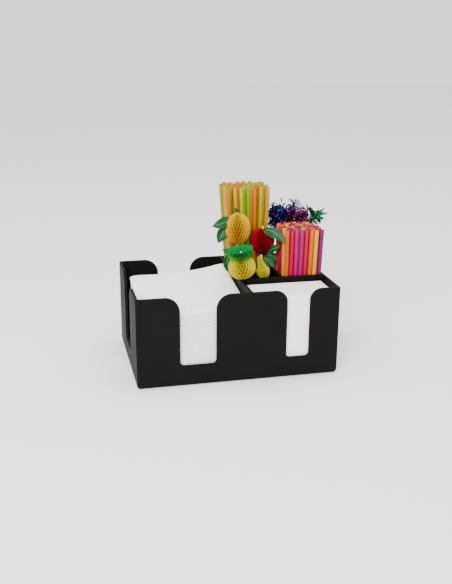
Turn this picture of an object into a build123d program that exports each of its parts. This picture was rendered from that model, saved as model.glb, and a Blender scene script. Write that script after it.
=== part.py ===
"""Stocked bar caddy: a moulded napkin and straw dispenser with its load of napkins, straws and picks.

Frame: millimetres, +Z up, +X to the user's right, the user stands on the -Y side.
The origin is the centre of the flat underside, so the caddy stands on z = 0.
"""

import os

from build123d import *

os.makedirs("parts", exist_ok=True)

# ---------------------------------------------------------------- driving dimensions
# Caddy moulding
CASE_LENGTH = 241.0
CASE_DEPTH = 168.0
CASE_HEIGHT = 108.3
WALL = 3.5
FLOOR = 3.5
PLAN_CORNER = 2.0
BOTTOM_EDGE = 5.0
POCKET_CORNER = 1.6
RIM_EDGE = 0.7

# Dividers, all as high as the rim
LONG_DIVIDER_X = 12.0          # left face of the divider that runs front to back
CROSS_DIVIDER_Y = -30.0        # front face of the divider behind the small napkins
STRAW_DIVIDER = 3.0            # thickness of the two dividers between the straw pockets

# Finger slots
SLOT_BOTTOM = 25.7
SLOT_CORNER = 4.5
BIG_SLOT_WIDTH = 42.3
BIG_SLOT_X = -49.1
BIG_SLOT_SHOULDER = 17.5
SMALL_SLOT_WIDTH = 27.5
SMALL_SLOT_X = 70.0
SMALL_SLOT_SHOULDER = 14.0
SIDE_SLOT_WIDTH = 48.0
SIDE_SLOT_SHOULDER = 17.5

# Loose things stand and lie this far from what holds them
GAP = 0.3

# Beverage napkins, lying flat in the big pocket
NAPKIN_WIDTH = 122.8
NAPKIN_COUNT = 30
NAPKIN_RIGHT_X = 10.4
STACK_FRONT_HEIGHT = 80.6      # at mid width
STACK_BACK_HEIGHT = 95.5       # at mid width
STACK_SIDE_RISE = 6.0          # the right edge is this much higher than mid width, the left lower
NAPKIN_SPACING = 0.15
TOP_NAPKIN_THICK = 1.5

# Cocktail napkins, standing on edge in the small pocket
SMALL_NAPKIN = 98.6
SMALL_NAPKIN_THICK = 1.85
SMALL_NAPKIN_PITCH = 2.0
SMALL_NAPKIN_COUNT = 23

# Drinking straws
STRAW_RADIUS = 2.5
STRAW_WALL = 0.25
LONG_STRAW_LENGTH = 203.0
SHORT_STRAW_LENGTH = 159.0

# Picks
STICK_RADIUS = 1.0
STICK_FIT = 0.05
CARD = 0.6

# ---------------------------------------------------------------- derived planes
LEFT_IN = -CASE_LENGTH / 2 + WALL
RIGHT_IN = CASE_LENGTH / 2 - WALL
FRONT_IN = -CASE_DEPTH / 2 + WALL
BACK_IN = CASE_DEPTH / 2 - WALL
DIVIDER_RIGHT = LONG_DIVIDER_X + WALL
CROSS_BACK = CROSS_DIVIDER_Y + WALL
STRAW_SPLIT_X = (DIVIDER_RIGHT + RIGHT_IN) / 2
STRAW_SPLIT_Y = (CROSS_BACK + BACK_IN) / 2
LOAD_Z = FLOOR + GAP


def save(builder, name):
    """Label one finished sub-part and write it to its own STEP file."""
    builder.part.label = name
    export_step(builder.part, f"parts/{name}.step")


# ---------------------------------------------------------------- caddy moulding
def pocket(x_low, x_high, y_low, y_high):
    """Sketch of one rectangular pocket between two pairs of inner faces."""
    with BuildSketch(Plane.XY.offset(FLOOR)) as sketch:
        with Locations(((x_low + x_high) / 2, (y_low + y_high) / 2)):
            RectangleRounded(x_high - x_low, y_high - y_low, POCKET_CORNER)
    return sketch.sketch


def finger_slot(plane, centre, width, shoulder):
    """Sketch of a finger slot: a round-cornered U that flares out in two shoulders at the rim."""
    half = width / 2
    top = CASE_HEIGHT
    corner = SLOT_CORNER
    with BuildSketch(plane) as sketch:
        with BuildLine():
            Line((centre - half - shoulder, top + 1), (centre - half - shoulder, top))
            RadiusArc((centre - half - shoulder, top), (centre - half, top - shoulder), shoulder)
            Line((centre - half, top - shoulder), (centre - half, SLOT_BOTTOM + corner))
            RadiusArc((centre - half, SLOT_BOTTOM + corner), (centre - half + corner, SLOT_BOTTOM), -corner)
            Line((centre - half + corner, SLOT_BOTTOM), (centre + half - corner, SLOT_BOTTOM))
            RadiusArc((centre + half - corner, SLOT_BOTTOM), (centre + half, SLOT_BOTTOM + corner), -corner)
            Line((centre + half, SLOT_BOTTOM + corner), (centre + half, top - shoulder))
            RadiusArc((centre + half, top - shoulder), (centre + half + shoulder, top), shoulder)
            Line((centre + half + shoulder, top), (centre + half + shoulder, top + 1))
            Line((centre + half + shoulder, top + 1), (centre - half - shoulder, top + 1))
        make_face()
    return sketch.sketch


POCKETS = (
    (LEFT_IN, LONG_DIVIDER_X, FRONT_IN, BACK_IN),
    (DIVIDER_RIGHT, RIGHT_IN, FRONT_IN, CROSS_DIVIDER_Y),
    (DIVIDER_RIGHT, STRAW_SPLIT_X - STRAW_DIVIDER / 2, CROSS_BACK, STRAW_SPLIT_Y - STRAW_DIVIDER / 2),
    (STRAW_SPLIT_X + STRAW_DIVIDER / 2, RIGHT_IN, CROSS_BACK, STRAW_SPLIT_Y - STRAW_DIVIDER / 2),
    (DIVIDER_RIGHT, STRAW_SPLIT_X - STRAW_DIVIDER / 2, STRAW_SPLIT_Y + STRAW_DIVIDER / 2, BACK_IN),
    (STRAW_SPLIT_X + STRAW_DIVIDER / 2, RIGHT_IN, STRAW_SPLIT_Y + STRAW_DIVIDER / 2, BACK_IN),
)

with BuildPart() as caddy:
    with BuildSketch():
        RectangleRounded(CASE_LENGTH, CASE_DEPTH, PLAN_CORNER)
    extrude(amount=CASE_HEIGHT)
    fillet(caddy.faces().sort_by(Axis.Z)[0].edges(), radius=BOTTOM_EDGE)
    for limits in POCKETS:
        extrude(pocket(*limits), amount=CASE_HEIGHT, mode=Mode.SUBTRACT)
    # The big slot is cut through the front wall and the back wall in one go.
    big_slot = finger_slot(Plane.XZ.offset(-CASE_DEPTH), BIG_SLOT_X, BIG_SLOT_WIDTH, BIG_SLOT_SHOULDER)
    extrude(big_slot, amount=2 * CASE_DEPTH, mode=Mode.SUBTRACT)
    small_slot = finger_slot(Plane.XZ.offset(-FRONT_IN - 1), SMALL_SLOT_X, SMALL_SLOT_WIDTH, SMALL_SLOT_SHOULDER)
    extrude(small_slot, amount=WALL + 2, mode=Mode.SUBTRACT)
    side_slot = finger_slot(Plane.YZ.offset(LEFT_IN + 1), 0, SIDE_SLOT_WIDTH, SIDE_SLOT_SHOULDER)
    extrude(side_slot, amount=-WALL - 2, mode=Mode.SUBTRACT)
    rim = caddy.faces().filter_by(lambda face: abs(face.center().Z - CASE_HEIGHT) < 0.01)
    chamfer(rim.edges(), length=RIM_EDGE)
save(caddy, "caddy_body")


# ---------------------------------------------------------------- napkins lying flat
NAPKIN_LEFT_X = NAPKIN_RIGHT_X - NAPKIN_WIDTH
NAPKIN_FRONT_Y = FRONT_IN + 1.0
NAPKIN_BACK_Y = NAPKIN_FRONT_Y + NAPKIN_WIDTH


def layer_heights(layer, side):
    """Height of one layer's underside at the front and the back; side is -1 at the left, 1 at the right."""
    share = layer / NAPKIN_COUNT
    rise = side * STACK_SIDE_RISE
    return LOAD_Z + share * (STACK_FRONT_HEIGHT + rise), LOAD_Z + share * (STACK_BACK_HEIGHT + rise)


def napkin_side(x, low, high):
    """Outline of one folded napkin on one side of the stack, from its lower and upper heights."""
    with BuildSketch(Plane.YZ.offset(x)) as side:
        with BuildLine():
            Polyline(
                (NAPKIN_FRONT_Y, low[0]),
                (NAPKIN_BACK_Y, low[1]),
                (NAPKIN_BACK_Y, high[1]),
                (NAPKIN_FRONT_Y, high[0]),
                close=True,
            )
        make_face()
    return side.sketch


def flat_napkin(lift_low, lift_high, layer_low, layer_high):
    """One folded napkin between two layer numbers, each raised a little; joins the current part."""
    sides = []
    for x, side in ((NAPKIN_LEFT_X, -1), (NAPKIN_RIGHT_X, 1)):
        low = [height + lift_low for height in layer_heights(layer_low, side)]
        high = [height + lift_high for height in layer_heights(layer_high, side)]
        sides.append(napkin_side(x, low, high))
    loft(sides, ruled=True)


with BuildPart() as large_napkins:
    for layer in range(NAPKIN_COUNT):
        flat_napkin(0, -NAPKIN_SPACING, layer, layer + 1)
save(large_napkins, "large_napkins")

with BuildPart() as top_napkin:
    flat_napkin(GAP, GAP + TOP_NAPKIN_THICK, NAPKIN_COUNT, NAPKIN_COUNT)
save(top_napkin, "top_napkin")


# ---------------------------------------------------------------- napkins standing on edge
def standing_napkin(number):
    """One folded cocktail napkin on its edge; number 0 is the one at the front."""
    centre_y = FRONT_IN + GAP + SMALL_NAPKIN_THICK / 2 + number * SMALL_NAPKIN_PITCH
    with BuildSketch(Plane.XZ.offset(-centre_y)) as face:
        with Locations(((DIVIDER_RIGHT + RIGHT_IN) / 2, LOAD_Z + SMALL_NAPKIN / 2)):
            RectangleRounded(SMALL_NAPKIN, SMALL_NAPKIN, 1.0)
    extrude(face.sketch, amount=SMALL_NAPKIN_THICK / 2, both=True)


with BuildPart() as front_napkin:
    standing_napkin(0)
save(front_napkin, "front_napkin")

with BuildPart() as small_napkins:
    for number in range(1, SMALL_NAPKIN_COUNT):
        standing_napkin(number)
save(small_napkins, "small_napkins")


# ---------------------------------------------------------------- straws
def straw_bundle(foot_x, tip_x, columns, first_y, row_pitch, rows, length):
    """Column, row, foot point and direction of each straw, in staggered rows that fan out sideways."""
    bundle = []
    for row in range(rows):
        stagger = 0.5 * (row % 2)
        for column in range(columns - row % 2):
            share = (column + stagger) / (columns - 1)
            foot = Vector(
                foot_x[0] + share * (foot_x[1] - foot_x[0]),
                first_y + row * row_pitch,
                LOAD_Z + 0.2,
            )
            lean = tip_x[0] - foot_x[0] + share * (tip_x[1] - tip_x[0] - foot_x[1] + foot_x[0])
            bundle.append((column, row, foot, Vector(lean, 0, length).normalized()))
    return bundle


def save_straws(bundle, length, pattern, prefix):
    """Write a bundle as one node per colour, each a group of separate straws.

    The pattern gives the colours of the front row from left to right; each row behind it starts
    three colours further on.
    """
    for colour in sorted(set(pattern)):
        with BuildPart() as group:
            for column, row, foot, direction in bundle:
                if pattern[(column + 3 * row) % len(pattern)] != colour:
                    continue
                with BuildSketch(Plane(origin=foot, x_dir=(0, 1, 0), z_dir=direction)):
                    Circle(STRAW_RADIUS)
                    Circle(STRAW_RADIUS - STRAW_WALL, mode=Mode.SUBTRACT)
                extrude(amount=length)
        save(group, f"{prefix}_{colour}")


LONG_ROWS = 10
LONG_FIRST_Y = STRAW_SPLIT_Y + STRAW_DIVIDER / 2 + STRAW_RADIUS + 0.6
LONG_PATTERN = ("orange", "peach", "lime", "green", "orange", "lime", "peach")
long_bundle = straw_bundle((25.6, 58.6), (11.5, 62.4), 7, LONG_FIRST_Y, 4.55, LONG_ROWS, LONG_STRAW_LENGTH)
save_straws(long_bundle, LONG_STRAW_LENGTH, LONG_PATTERN, "long_straws")

SHORT_ROWS = 10
SHORT_FIRST_Y = CROSS_BACK + STRAW_RADIUS + 0.6
SHORT_PATTERN = ("orange", "pink", "magenta", "magenta", "pink", "orange", "yellow", "purple")
short_bundle = straw_bundle((72.0, 110.4), (72.0, 116.2), 8, SHORT_FIRST_Y, 4.5, SHORT_ROWS, SHORT_STRAW_LENGTH)
save_straws(short_bundle, SHORT_STRAW_LENGTH, SHORT_PATTERN, "short_straws")


# ---------------------------------------------------------------- picks
def along_pick(foot, head):
    """Upright profile plane at a pick's head: its local y runs up the stick."""
    up = (Vector(*head) - Vector(*foot)).normalized()
    side = (Vector(1, 0, 0) - up * up.X).normalized()
    return Plane(origin=head, x_dir=side, z_dir=side.cross(up))


def save_stick(name, foot, head, past_head):
    """A round stick from the pocket floor to a little way past the middle of the head."""
    start = Vector(*foot)
    reach = Vector(*head) - start
    with BuildPart() as stick:
        with BuildSketch(Plane(origin=foot, z_dir=reach)):
            Circle(STICK_RADIUS)
        extrude(amount=reach.length + past_head)
        chamfer(stick.edges().filter_by(GeomType.CIRCLE), length=0.4)
    save(stick, name)


def spin_round_stick(name, plane, outline):
    """Sweep a closed outline round the stick, leave the stick's hole open and save the solid."""
    with BuildPart() as head:
        revolve(outline, axis=Axis(plane.origin, plane.y_dir))
    save(head, name)


BORE = STICK_RADIUS + STICK_FIT


def egg(plane, radius, down, up, middle=0.0):
    """Half outline of an egg round the stick: widest radius, and reach below and above its middle."""
    bottom, top = (BORE, middle - down), (BORE, middle + up)
    with BuildSketch(plane) as half:
        with BuildLine():
            Spline(bottom, (radius, middle), top, tangents=((1, 0), (0, 1), (-1, 0)))
            Line(top, bottom)
        make_face()
    return half.sketch


def leaf(root, tip, width, facing):
    """A pointed leaf of thin card from its root to its tip; joins the current part."""
    run = Vector(*tip) - Vector(*root)
    normal = (Vector(*facing) - run.normalized() * Vector(*facing).dot(run.normalized())).normalized()
    with BuildSketch(Plane(origin=root, x_dir=run, z_dir=normal)) as blade:
        with BuildLine():
            ThreePointArc((0, 0), (run.length * 0.45, width / 2), (run.length, 0))
            ThreePointArc((run.length, 0), (run.length * 0.45, -width / 2), (0, 0))
        make_face()
    extrude(blade.sketch, amount=CARD / 2, both=True)


# Orange pick, at the back left of the four
ORANGE_FOOT, ORANGE_HEAD = (24.0, 14.0, LOAD_Z), (18.6, 8.0, 163.5)
orange_plane = along_pick(ORANGE_FOOT, ORANGE_HEAD)
save_stick("orange_stick", ORANGE_FOOT, ORANGE_HEAD, 19)
spin_round_stick("orange_fruit", orange_plane, egg(orange_plane, 15.8, 20, 18.5))
with BuildPart() as orange_leaves:
    leaf((13.0, 9.4, 176.0), (-13.5, 9.4, 167.0), 15, (0, -1, 0))
    leaf((9.0, 9.4, 168.0), (-6.5, 9.4, 145.5), 15, (0, -1, 0))
save(orange_leaves, "orange_leaves")

# Strawberry pick, at the back right of the four
STRAWBERRY_FOOT, STRAWBERRY_HEAD = (51.5, 17.0, LOAD_Z), (51.0, 11.0, 144.5)
strawberry_plane = along_pick(STRAWBERRY_FOOT, STRAWBERRY_HEAD)
save_stick("strawberry_stick", STRAWBERRY_FOOT, STRAWBERRY_HEAD, 19)
spin_round_stick("strawberry_fruit", strawberry_plane, egg(strawberry_plane, 15.8, 20.5, 14, middle=2))
with BuildPart() as strawberry_leaves:
    leaf((52.2, 7.0, 163.0), (68.8, -27.2, 152.5), 14, (0.45, -0.35, 0.8))
save(strawberry_leaves, "strawberry_leaves")

# Pineapple pick, at the front left, leaning out over the corner of the dividers
PINEAPPLE_FOOT, PINEAPPLE_HEAD = (35.4, 16.6, LOAD_Z), (14.5, -31.0, 123.4)
pineapple_plane = along_pick(PINEAPPLE_FOOT, PINEAPPLE_HEAD)
save_stick("pineapple_stick", PINEAPPLE_FOOT, PINEAPPLE_HEAD, 24)
spin_round_stick("pineapple_fruit", pineapple_plane, egg(pineapple_plane, 16.4, 13, 14))
spin_round_stick("pineapple_crown", pineapple_plane, egg(pineapple_plane, 13.5, 6, 8, middle=20.5))
with BuildPart() as pineapple_leaf:
    leaf((-1.0, -16.0, 139.0), (2.5, -16.0, 112.0), 12, (0, -1, 0))
save(pineapple_leaf, "pineapple_leaf")

# Pear pick, low down at the front: a round belly that narrows to a neck
PEAR_FOOT, PEAR_HEAD = (55.0, -8.0, LOAD_Z), (43.5, -16.3, 117.5)
pear_plane = along_pick(PEAR_FOOT, PEAR_HEAD)
save_stick("pear_stick", PEAR_FOOT, PEAR_HEAD, 17)
with BuildSketch(pear_plane) as pear_half:
    with BuildLine():
        Spline(
            (BORE, -14.5),
            (8.7, -5.5),
            (4.2, 8.0),
            (BORE, 15.5),
            tangents=((1, 0), (-1, 0.5)),
        )
        Line((BORE, 15.5), (BORE, -14.5))
    make_face()
spin_round_stick("pear_fruit", pear_plane, pear_half.sketch)
with BuildPart() as pear_leaf:
    leaf((44.5, -19.4, 131.5), (59.5, -19.4, 117.0), 8.5, (0, -1, 0))
save(pear_leaf, "pear_leaf")

# Tinsel picks, in the back right pocket: foot, middle of the tuft, radius of the tuft
TINSEL = {
    "blue": ((82.0, 46.0, LOAD_Z), (79.5, 45.0, 172.6), 9.5),
    "purple": ((92.0, 62.0, LOAD_Z), (99.2, 57.5, 165.5), 9.5),
    "magenta": ((104.0, 42.0, LOAD_Z), (109.6, 39.0, 163.5), 8.5),
    "silver": ((110.0, 74.0, LOAD_Z), (114.8, 75.5, 174.0), 6.5),
    "green": ((87.0, 47.0, LOAD_Z), (131.2, 45.5, 166.8), 11.0),
}
for colour, (foot, head, radius) in TINSEL.items():
    tuft_plane = along_pick(foot, head)
    save_stick(f"{colour}_tinsel_stick", foot, head, radius * 0.6)
    spin_round_stick(f"{colour}_tinsel_tuft", tuft_plane, egg(tuft_plane, radius, radius, radius))
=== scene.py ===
"""Looks of a stocked bar caddy: moulded case, paper napkins, straws, tissue fruit and tinsel picks."""

import random
from math import ceil, cos, exp, pi, radians, sin, sqrt
from typing import NamedTuple

import bpy
from mathutils import Matrix, Vector, noise


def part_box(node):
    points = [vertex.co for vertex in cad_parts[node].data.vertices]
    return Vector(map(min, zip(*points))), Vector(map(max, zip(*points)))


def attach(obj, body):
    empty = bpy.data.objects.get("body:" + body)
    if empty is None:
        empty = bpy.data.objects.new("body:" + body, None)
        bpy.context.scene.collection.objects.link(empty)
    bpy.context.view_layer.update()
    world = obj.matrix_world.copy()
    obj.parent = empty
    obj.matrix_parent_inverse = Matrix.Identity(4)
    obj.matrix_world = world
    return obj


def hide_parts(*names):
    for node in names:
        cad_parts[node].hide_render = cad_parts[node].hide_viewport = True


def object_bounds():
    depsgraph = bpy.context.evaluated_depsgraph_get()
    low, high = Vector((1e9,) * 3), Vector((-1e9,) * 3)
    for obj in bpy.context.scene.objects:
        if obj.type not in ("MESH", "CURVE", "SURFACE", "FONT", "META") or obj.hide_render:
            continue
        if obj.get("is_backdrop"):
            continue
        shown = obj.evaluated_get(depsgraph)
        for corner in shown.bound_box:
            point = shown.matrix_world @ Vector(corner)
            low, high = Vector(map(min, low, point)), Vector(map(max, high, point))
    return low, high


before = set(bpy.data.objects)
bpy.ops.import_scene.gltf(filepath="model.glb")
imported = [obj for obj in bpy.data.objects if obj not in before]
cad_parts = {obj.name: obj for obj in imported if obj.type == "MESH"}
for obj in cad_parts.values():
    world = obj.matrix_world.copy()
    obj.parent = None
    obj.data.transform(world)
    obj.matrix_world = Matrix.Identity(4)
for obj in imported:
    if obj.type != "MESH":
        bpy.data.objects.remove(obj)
cad_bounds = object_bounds()

MM = 0.001
UP = Vector((0, 0, 1))
case_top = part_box("caddy_body")[1].z


# ---------------------------------------------------------------- camera
def make_camera():
    """The photograph's view: from the front left, a little above the rim."""
    yaw, pitch, roll = radians(-13.33), radians(17.57), radians(0.42)
    distance = 0.9864
    target = Vector((0.0024, 0, 0.0841))
    back = Vector((sin(yaw) * cos(pitch), -cos(yaw) * cos(pitch), sin(pitch)))
    right = (-back).cross(UP).normalized()
    up = right.cross(-back)
    turned_right = cos(roll) * right + sin(roll) * up
    turned_up = -sin(roll) * right + cos(roll) * up
    data = bpy.data.cameras.new("camera")
    data.sensor_fit = "VERTICAL"
    data.sensor_height = 36.0
    data.lens = 48.97
    data.clip_end = 50
    camera = bpy.data.objects.new("camera", data)
    axes = Matrix((turned_right, turned_up, back)).transposed().to_4x4()
    camera.matrix_world = Matrix.Translation(target + back * distance) @ axes
    bpy.context.scene.collection.objects.link(camera)
    bpy.context.scene.camera = camera


make_camera()


# ---------------------------------------------------------------- mesh helpers
def new_mesh(name, points, faces, body, node_name):
    """Make a smooth piece from points in metres, put it on a CAD body and hide the node it stands for."""
    mesh = bpy.data.meshes.new(name)
    mesh.from_pydata(points, [], faces)
    mesh.validate()
    mesh.update()
    mesh.shade_smooth()
    piece = bpy.data.objects.new(name, mesh)
    bpy.context.scene.collection.objects.link(piece)
    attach(piece, body)
    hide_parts(node_name)
    return piece


def grid_faces(rows, columns, start=0, closed=False):
    """Quads of a rows by columns grid of points; closed joins the last column to the first."""
    faces = []
    for row in range(rows - 1):
        for column in range(columns if closed else columns - 1):
            following = (column + 1) % columns
            a = start + row * columns
            b = a + columns
            faces.append((a + column, a + following, b + following, b + column))
    return faces


def join_shapes(shapes):
    """Put several (points, faces) shapes into one."""
    points, faces = [], []
    for shape_points, shape_faces in shapes:
        start = len(points)
        points += shape_points
        faces += [tuple(start + index for index in face) for face in shape_faces]
    return points, faces


def add_modifier(piece, kind, **settings):
    """Add a modifier and set its values."""
    modifier = piece.modifiers.new(kind.lower(), kind)
    for key, value in settings.items():
        setattr(modifier, key, value)


def apply_modifiers(piece):
    """Replace the piece's mesh with the one that its modifiers make."""
    graph = bpy.context.evaluated_depsgraph_get()
    mesh = bpy.data.meshes.new_from_object(piece.evaluated_get(graph))
    piece.modifiers.clear()
    piece.data = mesh


def paint(piece, name, colours):
    """Store one colour per point as a colour attribute."""
    layer = piece.data.color_attributes.new(name, "FLOAT_COLOR", "POINT")
    for index, colour in enumerate(colours):
        layer.data[index].color = (*colour, 1.0)


# ---------------------------------------------------------------- material helpers
MIX_SHARE, MIX_A, MIX_B, MIX_RESULT = 0, 6, 7, 2       # a Mix node's colour sockets share their names


class Material:
    """A Principled material with short calls for the nodes that feed it.

    Constants go straight to the shader's own sockets, with _ for each space in a socket's name.
    """

    def __init__(self, name, **sockets):
        self.material = bpy.data.materials.new(name)
        self.material.use_nodes = True
        self.nodes = self.material.node_tree.nodes
        self.links = self.material.node_tree.links
        self.shader = self.nodes["Principled BSDF"]
        for socket, value in sockets.items():
            self.shader.inputs[socket.replace("_", " ")].default_value = value
        self.place = self.nodes.new("ShaderNodeTexCoord").outputs["Object"]

    def node(self, kind, inputs=(), **settings):
        """Make one node, set its settings, and link or set its inputs."""
        node = self.nodes.new("ShaderNode" + kind)
        for key, value in settings.items():
            setattr(node, key, value)
        for key, value in dict(inputs).items():
            if isinstance(value, bpy.types.NodeSocket):
                self.links.new(value, node.inputs[key])
            else:
                node.inputs[key].default_value = value
        return node

    def noise(self, scale, detail=3.0, roughness=0.55, place=None):
        """Cloudy values from 0 to 1; scale is in features per metre."""
        inputs = {"Vector": place or self.place, "Scale": scale, "Detail": detail, "Roughness": roughness}
        return self.node("TexNoise", inputs).outputs["Fac"]

    def stretched(self, x, y, z):
        """The place scaled along each axis, so that a noise fed with it is drawn out."""
        return self.node("Mapping", {"Vector": self.place, "Scale": (x, y, z)}).outputs["Vector"]

    def ramp(self, value, *stops):
        """Colour ramp through (position, colour) stops."""
        node = self.node("ValToRGB", {"Fac": value})
        band = node.color_ramp
        while len(band.elements) < len(stops):
            band.elements.new(0.5)
        for element, (position, colour) in zip(band.elements, stops):
            element.position = position
            element.color = (*colour, 1.0)
        return node.outputs["Color"]

    def mix(self, share, a, b, blend="MIX"):
        """Blend colours a and b; share, a and b are sockets or values."""
        node = self.node("Mix", data_type="RGBA", blend_type=blend)
        for index, value in ((MIX_SHARE, share), (MIX_A, a), (MIX_B, b)):
            if isinstance(value, bpy.types.NodeSocket):
                self.links.new(value, node.inputs[index])
            else:
                node.inputs[index].default_value = (*value, 1.0) if isinstance(value, tuple) else value
        return node.outputs[MIX_RESULT]

    def span(self, value, low, high, to_low=0.0, to_high=1.0):
        """Map a value from one range to another, held within it."""
        inputs = {0: value, 1: low, 2: high, 3: to_low, 4: to_high}
        return self.node("MapRange", inputs).outputs[0]

    def axis(self, name):
        """One coordinate of the place: X, Y or Z."""
        return self.node("SeparateXYZ", {0: self.place}).outputs[name]

    def set(self, socket, value):
        """Feed one of the shader's sockets."""
        self.links.new(value, self.shader.inputs[socket])

    def bump(self, height, strength, distance):
        """Raise the surface by a height, up to a distance in metres."""
        inputs = {"Height": height, "Strength": strength, "Distance": distance}
        self.set("Normal", self.node("Bump", inputs).outputs["Normal"])


def moulded_plastic():
    """Warm black matt plastic with a fine spark-eroded grain and faint handling marks."""
    m = Material("moulded_plastic", IOR=1.48, Specular_IOR_Level=0.05)
    grain = m.noise(1500, 2.0)
    cloudy = m.noise(22, 4.0)
    rubbed = m.noise(60, 6.0, place=m.stretched(1, 1, 0.3))
    base = m.mix(cloudy, (0.0042, 0.0040, 0.0036), (0.0062, 0.0058, 0.0052))
    rim = m.span(m.axis("Z"), case_top - 4 * MM, case_top, 0.0, 0.5)
    marks = m.node("Math", {0: rim, 1: m.span(rubbed, 0.5, 0.75)}, operation="MULTIPLY").outputs[0]
    m.set("Base Color", m.mix(marks, base, (0.014, 0.0135, 0.0125)))
    m.set("Roughness", m.span(rubbed, 0.3, 0.7, 0.52, 0.64))
    m.bump(grain, 0.35, 0.0002)
    return m.material


def napkin_paper(name, tint):
    """Soft white tissue paper: fine fibres and a faint embossed dot pattern."""
    m = Material(name, Roughness=0.92, Subsurface_Weight=0.12, Subsurface_Radius=(0.002, 0.002, 0.0018),
                 Sheen_Weight=0.15, Sheen_Roughness=0.6)
    fibres = m.noise(700, 5.0, 0.7)
    soft = m.noise(30, 3.0)
    dots = m.node("TexVoronoi", {"Vector": m.place, "Scale": 620.0}).outputs["Distance"]
    relief = m.node("Math", {0: fibres, 1: m.span(dots, 0.0, 0.5)}, operation="ADD").outputs[0]
    low = tuple(0.955 * c for c in tint)
    # the shade attribute holds painted shade, darker and warmer in the creases between plies
    shade = m.node("VertexColor", layer_name="shade").outputs["Color"]
    m.set("Base Color", m.mix(1.0, m.mix(soft, low, tint), shade, "MULTIPLY"))
    m.bump(relief, 0.25, 0.00025)
    return m.material


def tissue(name, bottom, top, low, high):
    """Crepe tissue that runs from one colour at the bottom to another at the top of its fruit."""
    m = Material(name, Roughness=0.9, Specular_IOR_Level=0.1)
    height = m.span(m.axis("Z"), low, high)
    patchy = m.span(m.noise(90, 4.0), 0.25, 0.75, 0.86, 1.1)
    shade = m.node("VertexColor", layer_name="shade").outputs["Color"]
    colour = m.mix(1.0, m.mix(height, bottom, top), shade, "MULTIPLY")
    m.set("Base Color", m.node("VectorMath", {0: colour, 1: patchy}, operation="MULTIPLY").outputs[0])
    m.bump(m.noise(1300, 3.0), 0.4, 0.0002)
    return m.material


def leaf_card():
    """Printed leaf: dark green with a pale midrib and side veins, slightly glossy.

    The leaf's own UV runs from root to tip along it, and from edge to edge across it.
    """
    m = Material("leaf_card", Roughness=0.42, Specular_IOR_Level=0.2)
    uv = m.node("UVMap", uv_map="leaf").outputs["UV"]
    along, across = m.node("SeparateXYZ", {0: uv}).outputs[:2]
    out = m.node("Math", {0: across, 1: 0.5}, operation="SUBTRACT").outputs[0]
    out = m.node("Math", {0: out}, operation="ABSOLUTE").outputs[0]
    midrib = m.span(out, 0.015, 0.05, 1.0, 0.0)
    slant = m.node("Math", {0: out, 1: -0.55, 2: along}, operation="MULTIPLY_ADD").outputs[0]
    ripple = m.node("Math", {0: slant, 1: 46.0}, operation="MULTIPLY").outputs[0]
    ripple = m.node("Math", {0: ripple}, operation="SINE").outputs[0]
    veins = m.span(ripple, 0.82, 1.0, 0.0, 0.55)
    lines = m.node("Math", {0: midrib, 1: veins}, operation="MAXIMUM").outputs[0]
    patchy = m.noise(110, 5.0, 0.65)
    green = m.ramp(patchy,
                   (0.35, (0.001, 0.018, 0.005)),
                   (0.55, (0.004, 0.055, 0.012)),
                   (0.75, (0.016, 0.14, 0.03)))
    m.set("Base Color", m.mix(lines, green, (0.05, 0.22, 0.07)))
    m.bump(lines, 0.5, 0.0004)
    return m.material


def straw_plastic(name, colour):
    """Smooth coloured tube with fine draw lines; each straw's own shade comes from its points."""
    m = Material(name, Roughness=0.36, IOR=1.46, Specular_IOR_Level=0.15)
    shade = m.node("VertexColor", layer_name="shade").outputs["Color"]
    drawn = m.noise(260, 3.0, place=m.stretched(1, 1, 0.03))
    tone = m.mix(m.span(drawn, 0.35, 0.7), colour, tuple(0.86 * c for c in colour))
    m.set("Base Color", m.mix(1.0, tone, shade, "MULTIPLY"))
    m.bump(drawn, 0.15, 0.0002)
    return m.material


def foil(name, *tones):
    """Crinkled metallised film: sharp highlights broken up by small creases."""
    m = Material(name, Metallic=0.9)
    first, spread = 0.34, 0.34
    gap = spread / (len(tones) - 1)
    stops = [(first + gap * index, colour) for index, colour in enumerate(tones)]
    m.set("Base Color", m.ramp(m.noise(190, 4.0), *stops))
    m.bump(m.noise(420, 4.0), 0.6, 0.0006)
    m.set("Roughness", m.span(m.noise(300, 2.0), 0.3, 0.7, 0.14, 0.34))
    return m.material


def stick_wood():
    """Pale sanded wood with grain along the stick."""
    m = Material("stick_wood", Roughness=0.7)
    grain = m.noise(900, 5.0, place=m.stretched(1, 1, 0.06))
    m.set("Base Color", m.ramp(grain, (0.3, (0.50, 0.36, 0.20)), (0.7, (0.74, 0.60, 0.40))))
    m.bump(grain, 0.3, 0.0002)
    return m.material


def dress(piece, material):
    """Give a piece or a CAD node one material."""
    piece.data.materials.clear()
    piece.data.materials.append(material)


dress(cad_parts["caddy_body"], moulded_plastic())
wood = stick_wood()
for node_name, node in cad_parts.items():
    if node_name.endswith("_stick"):
        dress(node, wood)


# ---------------------------------------------------------------- napkins
PLIES = 2
CREASE_SHADE = 0.25            # painted shade in the crease between two plies: how much darker it is


def rounded_outline(width, corner, step):
    """Points round a square centred on the origin with round corners, about one step apart."""
    points = []
    half = width / 2 - corner
    turns = ((half, half, 0), (-half, half, 90), (-half, -half, 180), (half, -half, 270))
    for index, (x, y, start) in enumerate(turns):
        for bend in range(4):
            angle = radians(start + 30 * bend)
            points.append(Vector((x + corner * cos(angle), y + corner * sin(angle))))
        following = turns[(index + 1) % 4]
        angle = radians(following[2])
        goal = Vector((following[0] + corner * cos(angle), following[1] + corner * sin(angle)))
        count = int(ceil((goal - points[-1]).length / step))
        first = points[-1]
        points += [first.lerp(goal, n / count) for n in range(1, count)]
    return points


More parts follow.
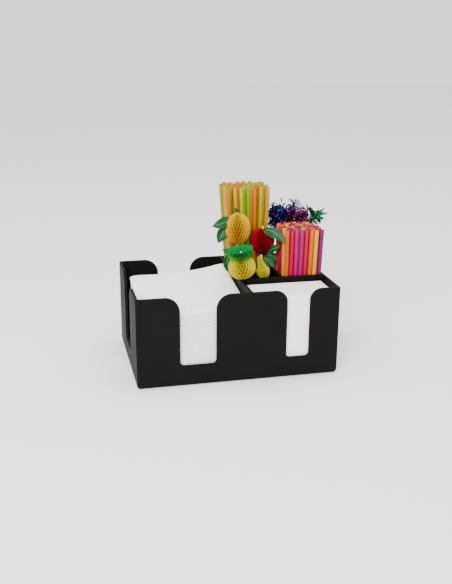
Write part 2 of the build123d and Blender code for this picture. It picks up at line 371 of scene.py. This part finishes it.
def napkin_shape(outline, groove, place, inner=(0.0, 0.2, 0.4, 0.6, 0.78, 0.9, 0.965)):
    """Points, faces and shades of one folded napkin.

    Rings run from the middle of the underside, round an edge that shows its plies, to the middle
    of the upper side. inner are the sizes of the rings inside the edge, as shares of the outline.
    place(x, y, share) gives the point at a share of the napkin's thickness. groove is how far the
    edge is drawn in at its creases, where the shades paint shade, a little darker and warmer.
    """
    rings = [(scale, 0.0, 0.0) for scale in inner]
    last = 2 * PLIES
    for bump in range(last + 1):
        pull = 0.0
        if bump % 2 == 0:
            pull = 1.0 if bump in (0, last) else 0.6
        rings.append((1.0, pull, bump / last))
    rings += [(scale, 0.0, 1.0) for scale in reversed(inner)]
    points, shades = [], []
    for scale, pull, share in rings:
        # painted shade at the creases between plies: darker, and warmer towards red
        deep = CREASE_SHADE * pull
        for point in outline:
            reach = scale - pull * groove / max(point.length, 1e-6)
            points.append(place(point.x * reach, point.y * reach, share))
            shades.append((1 - deep * 0.8, 1 - deep, 1 - deep * 1.2))
    return points, grid_faces(len(rings), len(outline), closed=True), shades


def join_napkins(shapes):
    """Put several napkins into one shape, and their shades in one list."""
    points, faces = join_shapes([shape[:2] for shape in shapes])
    return points, faces, [shade for shape in shapes for shade in shape[2]]


class FlatStack:
    """The lying stack's space, read from the CAD: its base, and the height of its top at any place."""

    def __init__(self):
        self.low, self.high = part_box("large_napkins")
        corners = [v.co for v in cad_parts["large_napkins"].data.vertices]
        self.tops = {}
        for left in (True, False):
            for front in (True, False):
                x = self.low.x if left else self.high.x
                y = self.low.y if front else self.high.y
                near = [c.z for c in corners if abs(c.x - x) < MM and abs(c.y - y) < MM]
                self.tops[left, front] = max(near)
        self.centre = (self.low + self.high) / 2
        self.size = self.high - self.low

    def height(self, x, y):
        """Height of the stack over its base at a place measured from the stack's middle.

        It sags between its front and back edges, and is puffed up at its back right corner and
        along its left.
        """
        across = min(1.0, max(0.0, x / self.size.x + 0.5))
        deep = min(1.0, max(0.0, y / self.size.y + 0.5))
        front = self.tops[True, True] * (1 - across) + self.tops[False, True] * across
        back = self.tops[True, False] * (1 - across) + self.tops[False, False] * across
        sag = 2.4 * MM * sin(pi * deep) * (0.4 + 0.6 * sin(pi * across))
        puff = 2.2 * exp(-(((across - 0.93) / 0.16) ** 2) - ((deep - 1.0) / 0.25) ** 2)
        puff += 3.4 * exp(-(((across - 0.05) / 0.32) ** 2)) * deep
        return front * (1 - deep) + back * deep - sag + puff * MM - self.low.z


stack = FlatStack()
paper = napkin_paper("napkin_paper", (0.93, 0.925, 0.905))
top_paper = napkin_paper("top_napkin_paper", (0.94, 0.935, 0.92))


def make_flat_stack():
    """The beverage napkins under the top one, each a little off the next."""
    draw = random.Random(11)
    count = 30
    width = stack.size.x - 1.2 * MM
    outline = rounded_outline(width, 2.2 * MM, 3.2 * MM)
    shapes = []
    for layer in range(count):
        shift = Vector((draw.uniform(-0.5, 0.5), draw.uniform(-0.35, 0.35))) * MM
        turn = radians(draw.uniform(-0.25, 0.25))
        seed = draw.uniform(0, 50)

        def place(x, y, share, layer=layer, shift=shift, turn=turn, seed=seed):
            px = x * cos(turn) - y * sin(turn) + shift.x
            py = x * sin(turn) + y * cos(turn) + shift.y
            level = (layer + 0.03 + 0.92 * share) / count
            edge = max(abs(x), abs(y)) / (width / 2)
            wave = noise.noise(Vector((px * 28, py * 28, seed))) * 0.35 * MM * edge ** 4
            z = stack.low.z + stack.height(px, py) * level + wave * (0.5 - abs(share - 0.5))
            return (stack.centre.x + px, stack.centre.y + py, z)

        shapes.append(napkin_shape(outline, 0.8 * MM, place))
    points, faces, shades = join_napkins(shapes)
    piece = new_mesh("beverage_napkins", points, faces, "caddy", "large_napkins")
    paint(piece, "shade", shades)
    dress(piece, paper)


def make_top_napkin():
    """The top napkin: soft, a little rumpled, with the cross of its folds and a wavy back edge."""
    low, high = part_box("top_napkin")
    width = high.x - low.x
    outline = rounded_outline(width - 0.4 * MM, 3.0 * MM, 1.6 * MM)

    def place(x, y, share):
        across, deep = x / width + 0.5, y / width + 0.5
        inset = width / 2 - max(abs(x), abs(y))
        dome = 1 - (1 - min(1.0, max(0.0, inset) / (11 * MM))) ** 2.2
        base = stack.low.z + stack.height(x, y) + 0.45 * MM
        bent = noise.noise(Vector((x * 14, y * 14, 5.0))) * 0.035
        waves = noise.noise(Vector(((x + bent) * 24, (y - bent) * 19, 3.1)))
        crease = abs(noise.noise(Vector(((x + 0.7 * y + bent) * 34, (y - 0.5 * x) * 13, 7.7))))
        back_edge = max(0.0, sin(across * 14.0 + 0.6)) * max(0.0, deep - 0.75) / 0.25
        fold = exp(-(((across - 0.5) / 0.01) ** 2)) + 0.8 * exp(-(((deep - 0.52) / 0.01) ** 2))
        rumple = (1.1 * waves - 1.3 * crease + 0.4) * dome
        puff = 0.6 + 1.5 * dome + rumple + 1.1 * back_edge - 0.3 * fold
        ruffle = 0.7 * MM * sin(across * 11.0) * max(0.0, deep - 0.8) / 0.2
        z = base + max(0.45, puff) * MM * share
        return (stack.centre.x + x, stack.centre.y + y + ruffle, z)

    rings = 26
    inner = [ring / rings for ring in range(rings)]
    points, faces, shades = napkin_shape(outline, 0.3 * MM, place, inner)
    piece = new_mesh("top_beverage_napkin", points, faces, "top_napkin", "top_napkin")
    paint(piece, "shade", shades)
    add_modifier(piece, "SUBSURF", levels=1, render_levels=1)
    apply_modifiers(piece)
    dress(piece, top_paper)


def make_standing_napkins():
    """The cocktail napkins on edge: one mesh for the front one, one for the rest."""
    draw = random.Random(23)
    groups = (("front_napkin", "front_cocktail_napkin", "front_napkin", 1),
              ("small_napkins", "cocktail_napkins", "caddy", 22))
    for node_name, piece_name, body, count in groups:
        low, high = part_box(node_name)
        pitch = (high.y - low.y + 0.15 * MM) / count
        width = high.x - low.x
        middle = (low + high) / 2
        outline = rounded_outline(width - 1.0 * MM, 2.4 * MM, 3.0 * MM)
        shapes = []
        for number in range(count):
            shift = draw.uniform(-0.4, 0.4) * MM
            sink = draw.uniform(-0.9, 0.3) * MM if number else 0.0
            seed = draw.uniform(0, 50)

            def place(x, z, share, number=number, shift=shift, sink=sink, seed=seed):
                top = max(0.0, z / width + 0.1)
                bow = 0.25 * MM * sin(5.2 * x / width + 0.8 * seed / 50) * top
                wave = 0.3 * MM * noise.noise(Vector((x * 30, z * 30, seed))) * top
                y = low.y + pitch * (number + 0.06 + 0.86 * share)
                if count > 1:
                    y += wave + bow
                ragged = sink + 0.3 * MM * noise.noise(Vector((x * 45, seed, 1)))
                height = z + middle.z + (ragged if z > 0 else 0.0)
                return (middle.x + x + shift, y, height)

            shapes.append(napkin_shape(outline, 0.35 * MM, place))
        points, faces, shades = join_napkins(shapes)
        piece = new_mesh(piece_name, points, faces, body, node_name)
        paint(piece, "shade", shades)
        dress(piece, paper)


make_flat_stack()
make_top_napkin()
make_standing_napkins()


# ---------------------------------------------------------------- straws
def separate_solids(node):
    """Groups of points of a CAD node, one group per separate solid."""
    mesh = node.data
    weld = {}
    parent = {}

    def find(index):
        while parent[index] != index:
            parent[index] = parent[parent[index]]
            index = parent[index]
        return index

    for vertex in mesh.vertices:
        key = tuple(round(c * 1e5) for c in vertex.co)
        weld.setdefault(key, vertex.index)
        parent[vertex.index] = weld[key]
    for edge in mesh.edges:
        a, b = (find(index) for index in edge.vertices)
        parent[a] = b
    groups = {}
    for vertex in mesh.vertices:
        groups.setdefault(find(vertex.index), []).append(vertex.co.copy())
    return list(groups.values())


def straw_line(points):
    """Middle of a straw's foot and of its mouth."""
    low = min(p.z for p in points)
    high = max(p.z for p in points)
    foot = [p for p in points if p.z < low + 2 * MM]
    mouth = [p for p in points if p.z > high - 2 * MM]
    return sum(foot, Vector()) / len(foot), sum(mouth, Vector()) / len(mouth)


STRAW_RADIUS = 2.66 * MM
STRAW_WALL = 0.2 * MM
STRAW_LIP = 0.08 * MM          # how far the rounded rim stands past the mouth


def straw_shape(foot, mouth, bow):
    """Points and faces of one thin tube, slightly bowed, with a rounded rim at each end."""
    sides, steps = 24, 14
    inside = STRAW_RADIUS - STRAW_WALL
    rim = STRAW_RADIUS - 0.5 * STRAW_WALL
    run = mouth - foot
    along = run.normalized()
    side = along.orthogonal().normalized()
    other = along.cross(side)
    rings = [(n / steps, STRAW_RADIUS) for n in range(steps + 1)]
    rings += [(1.0, rim)]
    rings += [(n / steps, inside) for n in range(steps, -1, -1)]
    rings += [(0.0, rim)]
    points = []
    for share, reach in rings:
        centre = foot + run * share + bow * sin(pi * share)
        if reach == rim and share == 1.0:
            centre += along * STRAW_LIP
        for n in range(sides):
            angle = 2 * pi * n / sides
            points.append(centre + (side * cos(angle) + other * sin(angle)) * reach)
    faces = grid_faces(len(rings), sides, closed=True)
    last = (len(rings) - 1) * sides
    faces += [(last + n, last + (n + 1) % sides, (n + 1) % sides, n) for n in range(sides)]
    return points, faces


STRAW_COLOURS = {
    "long_straws_orange": (0.46, 0.11, 0.0),
    "long_straws_peach": (0.48, 0.21, 0.01),
    "long_straws_lime": (0.27, 0.34, 0.0),
    "long_straws_green": (0.12, 0.26, 0.0),
    "short_straws_magenta": (0.31, 0.0, 0.11),
    "short_straws_pink": (0.36, 0.0, 0.03),
    "short_straws_orange": (0.50, 0.09, 0.0),
    "short_straws_yellow": (0.50, 0.29, 0.0),
    "short_straws_purple": (0.17, 0.005, 0.09),
}


def make_straws(node_name, body, seed):
    """All straws of one colour, each with its own slight bow and shade."""
    draw = random.Random(seed)
    shapes, shades = [], []
    for solid in separate_solids(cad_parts[node_name]):
        foot, mouth = straw_line(solid)
        bow = Vector((draw.uniform(-0.25, 0.25), draw.uniform(-0.15, 0.15), 0)) * MM
        mouth = mouth + (mouth - foot).normalized() * draw.uniform(-0.8, 2.2) * MM
        mouth += Vector((draw.uniform(-0.45, 0.45), draw.uniform(-0.4, 0.4), 0)) * MM
        shape = straw_shape(foot, mouth, bow)
        shapes.append(shape)
        tone = draw.uniform(0.82, 1.0)
        warm = draw.uniform(0.94, 1.0)
        shades += [(tone, tone * warm, tone * warm * 0.98)] * len(shape[0])
    points, faces = join_shapes(shapes)
    piece = new_mesh(node_name.replace("straws", "drinking_straws"), points, faces, body, node_name)
    paint(piece, "shade", shades)
    dress(piece, straw_plastic(node_name, STRAW_COLOURS[node_name]))


for index, node_name in enumerate(sorted(STRAW_COLOURS)):
    bundle = node_name.rsplit("_", 1)[0]
    make_straws(node_name, bundle, 100 + index)


# ---------------------------------------------------------------- tissue fruit
class Pick:
    """A pick's line, read from its stick: the foot, the way up, and two directions across it."""

    def __init__(self, stick_node):
        points = [v.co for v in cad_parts[stick_node].data.vertices]
        self.foot, self.top = straw_line(points)
        self.up = (self.top - self.foot).normalized()
        self.side = (Vector((1, 0, 0)) - self.up * self.up.x).normalized()
        self.deep = self.up.cross(self.side)

    def out(self, turn):
        return self.side * cos(turn) + self.deep * sin(turn)

    def lean(self, x, y):
        """Tip the axis that a fruit is built round, away from the stick's own."""
        self.up = (self.up + Vector((x, y, 0))).normalized()
        self.side = (Vector((1, 0, 0)) - self.up * self.up.x).normalized()
        self.deep = self.up.cross(self.side)

    def middle(self, node_name):
        """Where the stick passes the middle of a node."""
        low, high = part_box(node_name)
        centre = (low + high) / 2
        return self.foot + self.up * (centre - self.foot).dot(self.up)


CORE = 0.5                     # share of the way out where the cells start, on gathered tissue
CORE_OVERLAP = 0.06            # the gathered tissue reaches this much further, so that no gap shows
DEEP_SHADE = 0.74              # shade at the bottom of the cells
NEAR_STICK = 1.2 * MM          # smallest radius of a fruit's outer edge


def honeycomb(pick, centre, spine, edge, sheets, cells):
    """Honeycomb tissue round a stick: sheets that touch their neighbours at every other cell.

    spine and edge give (radius, height) at a share from bottom to top. The sheets sway left and
    right by half their spacing, opposite to their neighbours, so that diamond cells open up.
    Returns the points, faces and one shade per point: darker deep in the cells.
    """
    rows = 4 * cells + 1
    columns = 4
    spacing = 2 * pi / sheets
    points, faces, shades = [], [], []

    def at(share, reach):
        near, far = spine(share), edge(share)
        return near[0] + (far[0] - near[0]) * reach, near[1] + (far[1] - near[1]) * reach

    def add(radius, height, turn, shade):
        points.append(centre + pick.out(turn) * radius + pick.up * height)
        shades.append((shade, shade * (0.75 + 0.25 * shade), shade * (0.7 + 0.3 * shade)))

    for sheet in range(sheets):
        start = len(points)
        sign = 1 if sheet % 2 else -1
        for row in range(rows):
            share = row / (rows - 1)
            sway = sign * 0.47 * spacing * sin(pi * cells * share)
            for column in range(columns):
                out = column / (columns - 1)
                radius, height = at(share, CORE + (1 - CORE) * out)
                add(radius, height, sheet * spacing + sway, DEEP_SHADE + (1 - DEEP_SHADE) * out ** 1.5)
        faces += grid_faces(rows, columns, start)
    start = len(points)
    for row in range(rows):
        radius, height = at(row / (rows - 1), CORE + CORE_OVERLAP)
        for sheet in range(sheets):
            add(radius, height, sheet * spacing, DEEP_SHADE)
    faces += grid_faces(rows, sheets, start, closed=True)
    return points, faces, shades


def make_tissue(name, pick, centre, node_name, material, spine, edge, sheets, cells):
    """One piece of honeycomb tissue on a pick, in place of its CAD solid."""
    body = node_name.split("_")[0] + "_pick"
    points, faces, shades = honeycomb(pick, centre, spine, edge, sheets, cells)
    piece = new_mesh(name, points, faces, body, node_name)
    paint(piece, "shade", shades)
    add_modifier(piece, "SOLIDIFY", thickness=0.12 * MM, offset=0.0)
    apply_modifiers(piece)
    dress(piece, material)


def egg_edge(radius, down, up, power, bumpy, cells):
    """Outer edge of an egg-shaped tissue fruit, scalloped between its glue lines."""
    def edge(share):
        angle = pi * (share - 0.5)
        reach = max(0.0, cos(angle)) ** power
        lift = sin(angle)
        swell = 1 + bumpy * abs(sin(pi * cells * share))
        return max(NEAR_STICK, radius * reach * swell), (up if lift > 0 else down) * lift
    return edge


def stick_spine(down, up):
    """The line along the stick where the sheets are glued."""
    return lambda share: (1.15 * MM, -down + (down + up) * share)


def box_span(node_name):
    """Heights of a node's lowest and highest points."""
    low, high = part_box(node_name)
    return low.z, high.z


def make_orange():
    pick = Pick("orange_stick")
    skin = tissue("orange_tissue", (0.50, 0.19, 0.0), (0.56, 0.34, 0.0), *box_span("orange_fruit"))
    cells = 12
    edge = egg_edge(15.5 * MM, 19.6 * MM, 18.0 * MM, 0.85, 0.02, cells)
    make_tissue("orange_tissue_fruit", pick, pick.middle("orange_fruit"), "orange_fruit",
                skin, stick_spine(18.5 * MM, 17 * MM), edge, 48, cells)


def make_strawberry():
    pick = Pick("strawberry_stick")
    skin = tissue("strawberry_tissue", (0.12, 0.0, 0.006), (0.27, 0.0, 0.008), *box_span("strawberry_fruit"))

    def edge(share):
        """Round at the top and pointed at the bottom."""
        angle = pi * (share - 0.5)
        pointed = 1 - 0.28 * max(0.0, -sin(angle)) ** 1.2
        radius = 15.4 * MM * max(0.0, cos(angle)) ** 0.75 * pointed
        return max(NEAR_STICK, radius), 17 * MM * sin(angle)

    centre = pick.middle("strawberry_fruit")
    pick.lean(-0.2, 0.0)
    make_tissue("strawberry_tissue_fruit", pick, centre, "strawberry_fruit",
                skin, stick_spine(16 * MM, 15.5 * MM), edge, 46, 12)


def make_pineapple():
    pick = Pick("pineapple_stick")
    low, high = box_span("pineapple_fruit")
    skin = tissue("pineapple_tissue", (0.56, 0.41, 0.0), (0.22, 0.34, 0.0), low + 16 * MM, high + 1 * MM)
    cells = 10
    edge = egg_edge(16.4 * MM, 13.2 * MM, 13.6 * MM, 0.7, 0.02, cells)
    centre = pick.middle("pineapple_fruit")
    pick.lean(0.0, 0.3)
    make_tissue("pineapple_tissue_fruit", pick, centre, "pineapple_fruit",
                skin, stick_spine(12.5 * MM, 13 * MM), edge, 48, cells)
    make_crown(pick, centre + pick.up * 17.5 * MM)


# Radius and height in millimetres: out from the neck, up the toothed side to the tips, down inside
CROWN_OUTLINE = ((10.5, -9.5), (13.2, -6.0), (15.0, -2.0), (16.4, 2.0),
                 (16.8, 7.0), (10.0, 4.5), (4.0, 1.0), (1.3, -1.0))
CROWN_TOOTHED = 4.2            # the teeth end this many points along the outline
CROWN_TEETH = 1.75             # teeth between two points


def make_crown(pick, centre):
    """The pineapple's toothed crown, green at its tips and yellow at its neck."""
    low = box_span("pineapple_crown")[0]
    yellow, green = (0.20, 0.42, 0.0), (0.0, 0.16, 0.03)
    leaves = tissue("pineapple_crown_tissue", yellow, green, low - 4 * MM, low + 7 * MM)

    def edge(share):
        place = share * (len(CROWN_OUTLINE) - 1)
        index = min(len(CROWN_OUTLINE) - 2, int(place))
        part = place - index
        here, following = CROWN_OUTLINE[index], CROWN_OUTLINE[index + 1]
        radius = here[0] * (1 - part) + following[0] * part
        height = here[1] * (1 - part) + following[1] * part
        if place < CROWN_TOOTHED:
            tooth = abs(((place * CROWN_TEETH) % 1) * 2 - 1)
            radius *= 1 - 0.16 * tooth
            height += 0.8 * (1 - tooth)
        return max(1.25, radius) * MM, height * MM

    def spine(share):
        return 1.15 * MM, (-9.5 + 9.5 * share) * MM

    make_tissue("pineapple_tissue_crown", pick, centre, "pineapple_crown",
                leaves, spine, edge, 34, 8)


def make_pear():
    pick = Pick("pear_stick")
    skin = tissue("pear_tissue", (0.50, 0.40, 0.0), (0.46, 0.48, 0.0), *box_span("pear_fruit"))
    shoulder = 0.42            # the belly turns into the neck at this share of the height

    def edge(share):
        """A round belly, then a neck that is drawn in half way up."""
        angle = pi * (share - 0.5)
        height = 14.6 * MM * sin(angle)
        if share < shoulder:
            return max(NEAR_STICK, 8.8 * MM * max(0.0, cos(angle)) ** 0.7), height
        up = min(1.0, (share - shoulder) / (1 - shoulder))
        drawn_in = 1 - 0.42 * sin(pi * up)
        return (8.75 * (1 - up) ** 0.75 * drawn_in + 1.25 * up) * MM, height

    centre = pick.middle("pear_fruit")
    pick.lean(-0.2, 0.0)
    make_tissue("pear_tissue_fruit", pick, centre, "pear_fruit",
                skin, stick_spine(14 * MM, 14 * MM), edge, 34, 11)


make_orange()
make_strawberry()
make_pineapple()
make_pear()


# ---------------------------------------------------------------- printed leaves
leaf_material = leaf_card()
FRONT = Vector((0, -1, 0.15))


class Leaf(NamedTuple):
    """A printed leaf: its ends in metres, the way it faces, and its other measures in millimetres."""

    root: Vector
    tip: Vector
    facing: Vector
    width: float
    arch: float                # how far its middle stands off the line from root to tip
    cup: float                 # how far its two edges are turned up
    curl: float                # how far its middle is bent sideways
    seed: int


def leaf_shape(leaf):
    """Points, faces and UVs of one thin leaf: arched along its length, cupped across, edge toothed."""
    draw = random.Random(leaf.seed)
    run = leaf.tip - leaf.root
    along = run.normalized()
    normal = (leaf.facing - along * leaf.facing.dot(along)).normalized()
    side = normal.cross(along)
    width, arch, cup, curl = leaf.width * MM, leaf.arch * MM, leaf.cup * MM, leaf.curl * MM
    rows, columns = 22, 11
    points, spots = [], []
    for row in range(rows):
        share = row / (rows - 1)
        full = sin(pi * share ** 0.85) ** 0.8 if 0 < share < 1 else 0.0
        tooth = 1 + 0.06 * (row % 2) + draw.uniform(-0.015, 0.015)
        half = max(0.25 * MM, width / 2 * full * tooth)
        bend = curl * sin(pi * share)
        for column in range(columns):
            across = 2 * column / (columns - 1) - 1
            lift = arch * sin(pi * share) + cup * across * across * full
            lift += 0.35 * MM * sin(9 * share + 3 * across + leaf.seed) * full
            spot = leaf.root + along * run.length * share
            points.append(spot + side * (half * across + bend) + normal * lift)
            spots.append((share, column / (columns - 1)))
    return points, grid_faces(rows, columns), spots


def make_leaves(name, node_name, leaves):
    """One piece of one or more leaves in place of a CAD card."""
    body = node_name.split("_")[0] + "_pick"
    shapes, spots = [], []
    for leaf in leaves:
        points, faces, places = leaf_shape(leaf)
        shapes.append((points, faces))
        spots += places
    points, faces = join_shapes(shapes)
    piece = new_mesh(name, points, faces, body, node_name)
    layer = piece.data.uv_layers.new(name="leaf")
    for loop in piece.data.loops:
        layer.data[loop.index].uv = spots[loop.vertex_index]
    add_modifier(piece, "SOLIDIFY", thickness=0.3 * MM, offset=0.0)
    apply_modifiers(piece)
    dress(piece, leaf_material)


def card_corners(node_name):
    """Lowest and highest corners of a leaf card, and the depth of its plane."""
    low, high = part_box(node_name)
    return low, high, (low.y + high.y) / 2


def make_orange_leaves():
    """Two big leaves out to the left, and two small ones at the top of the fruit."""
    low, high, y = card_corners("orange_leaves")
    right = high.x - 2 * MM
    upper_root = Vector((right, y, high.z - 5 * MM))
    upper_tip = Vector((low.x, y - 3 * MM, low.z + 21 * MM))
    lower_root = Vector((right - 5 * MM, y, high.z - 14 * MM))
    lower_tip = Vector((low.x + 7 * MM, y - 2 * MM, low.z))
    low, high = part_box("orange_fruit")
    top = Vector(((low.x + high.x) / 2 - 1 * MM, (low.y + high.y) / 2, high.z))
    left_tip = top + Vector((-4.5, -2.5, 6.5)) * MM
    front_tip = top + Vector((3.5, -4.5, 1.5)) * MM
    make_leaves("orange_printed_leaves", "orange_leaves", (
        Leaf(upper_root, upper_tip, FRONT, width=13.5, arch=1.5, cup=1.2, curl=0.8, seed=1),
        Leaf(lower_root, lower_tip, FRONT, width=14.0, arch=1.0, cup=1.4, curl=-1.0, seed=2),
        Leaf(top, left_tip, FRONT, width=4.2, arch=0.6, cup=0.8, curl=0.0, seed=6),
        Leaf(top, front_tip, UP, width=3.6, arch=0.6, cup=0.5, curl=0.0, seed=7),
    ))


def make_strawberry_leaves():
    """One big leaf over the fruit's right shoulder, and two behind it that hang lower."""
    low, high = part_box("strawberry_leaves")
    shoulder = Vector((low.x, high.y, high.z - 2 * MM))
    shoulder_tip = Vector((high.x - 0.5 * MM, low.y - 2 * MM, low.z - 1 * MM))
    root = Vector((low.x + 4 * MM, high.y - 2 * MM, low.z - 20 * MM))
    upper_tip = Vector((high.x - 1 * MM, high.y - 15 * MM, low.z - 11 * MM))
    lower_tip = Vector((high.x - 3.5 * MM, high.y - 8 * MM, low.z - 32 * MM))
    upwards = Vector((-0.1, -0.75, 0.65))
    half_up = Vector((0.1, -0.8, 0.5))
    forwards = Vector((0.1, -0.9, 0.3))
    make_leaves("strawberry_printed_leaf", "strawberry_leaves", (
        Leaf(shoulder, shoulder_tip, upwards, width=14.5, arch=4.5, cup=-1.2, curl=0.0, seed=3),
        Leaf(root, upper_tip, half_up, width=10.0, arch=1.0, cup=0.8, curl=0.0, seed=8),
        Leaf(root, lower_tip, forwards, width=9.0, arch=1.0, cup=0.6, curl=0.0, seed=10),
    ))


def make_pineapple_leaves():
    """One leaf that hangs beside the fruit, and one that stands out above it."""
    low, high, y = card_corners("pineapple_leaf")
    hanging_root = Vector((high.x - 4 * MM, y, high.z))
    hanging_tip = Vector((high.x - 3 * MM, y, low.z))
    upper_root = Vector((high.x + 2 * MM, y, high.z + 1 * MM))
    upper_tip = Vector((low.x - 2.5 * MM, y - 6 * MM, high.z + 5.5 * MM))
    make_leaves("pineapple_printed_leaf", "pineapple_leaf", (
        Leaf(hanging_root, hanging_tip, FRONT, width=11.0, arch=1.0, cup=1.2, curl=-3.5, seed=4),
        Leaf(upper_root, upper_tip, FRONT, width=7.5, arch=1.4, cup=1.0, curl=1.0, seed=9),
    ))


def make_pear_leaf():
    """One small leaf from the stalk down the fruit's right side."""
    low, high, y = card_corners("pear_leaf")
    root = Vector((low.x, y, high.z))
    tip = Vector((high.x, y, low.z))
    make_leaves("pear_printed_leaf", "pear_leaf", (
        Leaf(root, tip, FRONT, width=8.5, arch=1.2, cup=0.9, curl=0.6, seed=5),
    ))


make_orange_leaves()
make_strawberry_leaves()
make_pineapple_leaves()
make_pear_leaf()


# ---------------------------------------------------------------- tinsel
def ribbon(start, way, side, length, width, curl, twist):
    """Points and faces of one strip of film that leaves start along way and curls about its side."""
    steps = 14
    points = []
    here, ahead = start.copy(), way.normalized()
    bend = Matrix.Rotation(curl / steps, 3, side)
    for step in range(steps + 1):
        share = step / steps
        across = Matrix.Rotation(twist * share, 3, ahead) @ side
        half = width / 2 * (1 - 0.5 * share ** 3)
        points += [here - across * half, here + across * half]
        here = here + ahead * (length / steps)
        ahead = (bend @ ahead).normalized()
    return points, grid_faces(steps + 1, 2)


def make_tuft(colour, count, width, lengths, curls, rise, tones, seed, chosen=()):
    """One tinsel tuft in place of its CAD solid: strips that burst from the upper part of the stick.

    lengths, curls and rise are ranges: of the strips' lengths in radii of the tuft, of how far
    they curl in radians, and of where they start, in radii over the tuft's middle. width is their
    usual width in millimetres. chosen lists broad strips with a set course: start, way and side
    as vectors in radii, then length in radii, width in millimetres and curl in radians.
    """
    draw = random.Random(seed)
    node_name = f"{colour}_tinsel_tuft"
    pick = Pick(f"{colour}_tinsel_stick")
    low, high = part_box(node_name)
    radius = (high.x - low.x) / 2
    centre = pick.middle(node_name)
    shapes = []
    for _ in range(count):
        slope = draw.uniform(-0.8, 0.9)
        turn = draw.uniform(0, 2 * pi)
        way = pick.out(turn) * sqrt(1 - slope * slope) + pick.up * slope
        side = way.orthogonal().normalized()
        side = Matrix.Rotation(draw.uniform(0, 2 * pi), 3, way) @ side
        start = centre + pick.up * draw.uniform(*rise) * radius
        length = radius * draw.uniform(*lengths)
        wide = width * MM * draw.uniform(0.7, 1.3)
        curl = draw.choice((-1, 1)) * draw.uniform(*curls)
        twist = draw.uniform(-3, 3)
        shapes.append(ribbon(start, way, side, length, wide, curl, twist))
    for start, way, side, length, wide, curl in chosen:
        place = centre + Vector(start) * radius
        side = Vector(side).normalized()
        twist = draw.uniform(-0.6, 0.6)
        shapes.append(ribbon(place, Vector(way), side, length * radius, wide * MM, curl, twist))
    points, faces = join_shapes(shapes)
    name, body = f"{colour}_tinsel_strips", f"{colour}_tinsel_pick"
    piece = new_mesh(name, points, faces, body, node_name)
    add_modifier(piece, "SOLIDIFY", thickness=0.08 * MM, offset=0.0)
    apply_modifiers(piece)
    dress(piece, foil(f"{colour}_foil", *tones))


FULL = (-2.0, 0.5)             # strips that start all the way down the tuft
NAVY, INDIGO = (0.001, 0.0015, 0.022), (0.02, 0.03, 0.20)
PLUM, VIOLET, PINK = (0.016, 0.0005, 0.018), (0.06, 0.006, 0.11), (0.24, 0.008, 0.15)
PEWTER, SILVER = (0.30, 0.33, 0.33), (0.75, 0.80, 0.80)
PINE, EMERALD, JADE = (0.0, 0.03, 0.012), (0.0, 0.12, 0.05), (0.02, 0.34, 0.16)
GREEN_STRIPS = (
    ((0, 0, -0.2), (-0.62, -0.1, 0.85), (0.8, 0.0, 0.6), 1.6, 6.4, 0.5),
    ((0, 0, 0.1), (0.98, -0.1, 0.35), (-0.3, 0.0, 1), 1.5, 5.2, 1.0),
    ((0, 0, 0.0), (0.97, 0.2, 0.05), (0.0, 0.2, 1), 1.45, 4.6, -0.9),
    ((0, 0, -0.2), (0.9, -0.3, -0.2), (0.2, 0.1, 1), 1.3, 4.6, 1.1),
    ((0.0, -0.1, -0.35), (0.85, -0.3, -0.2), (0.15, -0.75, 0.65), 2.7, 6.4, -5.4),
    ((0, 0, -0.3), (-0.8, -0.2, 0.15), (0.15, 0.0, 1), 0.9, 4.6, 1.4),
    ((0, 0, -0.3), (-0.5, -0.3, -0.7), (0.8, 0, -0.6), 1.1, 5.0, 1.2),
    ((0, 0, 0.0), (0.5, 0.1, 0.8), (0.85, 0.0, -0.5), 0.9, 4.8, 1.8),
)
make_tuft("blue", count=260, width=2.6, lengths=(1.2, 2.8), curls=(2.2, 7.5), rise=FULL,
          tones=(NAVY, INDIGO), seed=31)
make_tuft("purple", count=300, width=2.6, lengths=(1.3, 3.2), curls=(2.2, 7.5), rise=FULL,
          tones=(PLUM, VIOLET, PINK), seed=32)
make_tuft("magenta", count=280, width=2.6, lengths=(1.3, 3.2), curls=(2.2, 7.5), rise=FULL,
          tones=(PLUM, PINK), seed=33)
make_tuft("silver", count=150, width=1.8, lengths=(1.2, 2.6), curls=(1.0, 5.5), rise=(-1.4, 0.4),
          tones=(PEWTER, SILVER), seed=34)
make_tuft("green", count=26, width=3.0, lengths=(0.7, 1.4), curls=(1.2, 4.5), rise=(-0.9, 0.2),
          tones=(PINE, EMERALD, JADE), seed=35, chosen=GREEN_STRIPS)


# ---------------------------------------------------------------- floor and light
def make_floor():
    """A pale, wide floor that the caddy stands on, half its width each way from the middle."""
    half = 6.0
    points = [(x, y, 0.0) for y in (-half, half) for x in (-half, half)]
    mesh = bpy.data.meshes.new("floor")
    mesh.from_pydata(points, [], [(0, 1, 3, 2)])
    ground = bpy.data.objects.new("floor", mesh)
    bpy.context.scene.collection.objects.link(ground)
    m = Material("floor_white", Roughness=0.9)
    m.set("Base Color", m.mix(m.noise(3, 2.0), (0.93, 0.93, 0.93), (0.95, 0.95, 0.95)))
    dress(ground, m.material)
    ground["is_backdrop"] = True


def area_light(name, place, aim, size, power):
    """A soft square light at a place, pointed at another; its size in metres, its power in watts."""
    data = bpy.data.lights.new(name, "AREA")
    data.size = size
    data.energy = power
    light = bpy.data.objects.new(name, data)
    light.location = place
    light.rotation_euler = (Vector(aim) - Vector(place)).to_track_quat("-Z", "Y").to_euler()
    bpy.context.scene.collection.objects.link(light)


def make_light():
    """An even white surround, a soft light from the front left and a wide one overhead."""
    world = bpy.data.worlds.new("studio")
    world.use_nodes = True
    backdrop = world.node_tree.nodes["Background"]
    backdrop.inputs["Color"].default_value = (1, 1, 1, 1)
    backdrop.inputs["Strength"].default_value = 1.5
    bpy.context.scene.world = world
    middle = (0, 0, 0.06)
    area_light("key", (-0.75, -1.45, 1.15), middle, 0.8, 52)
    area_light("top", (0.2, 0.2, 1.9), middle, 1.4, 16)


make_floor()
make_light()

plain = [[list(corner) for corner in bounds] for bounds in (cad_bounds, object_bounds())]
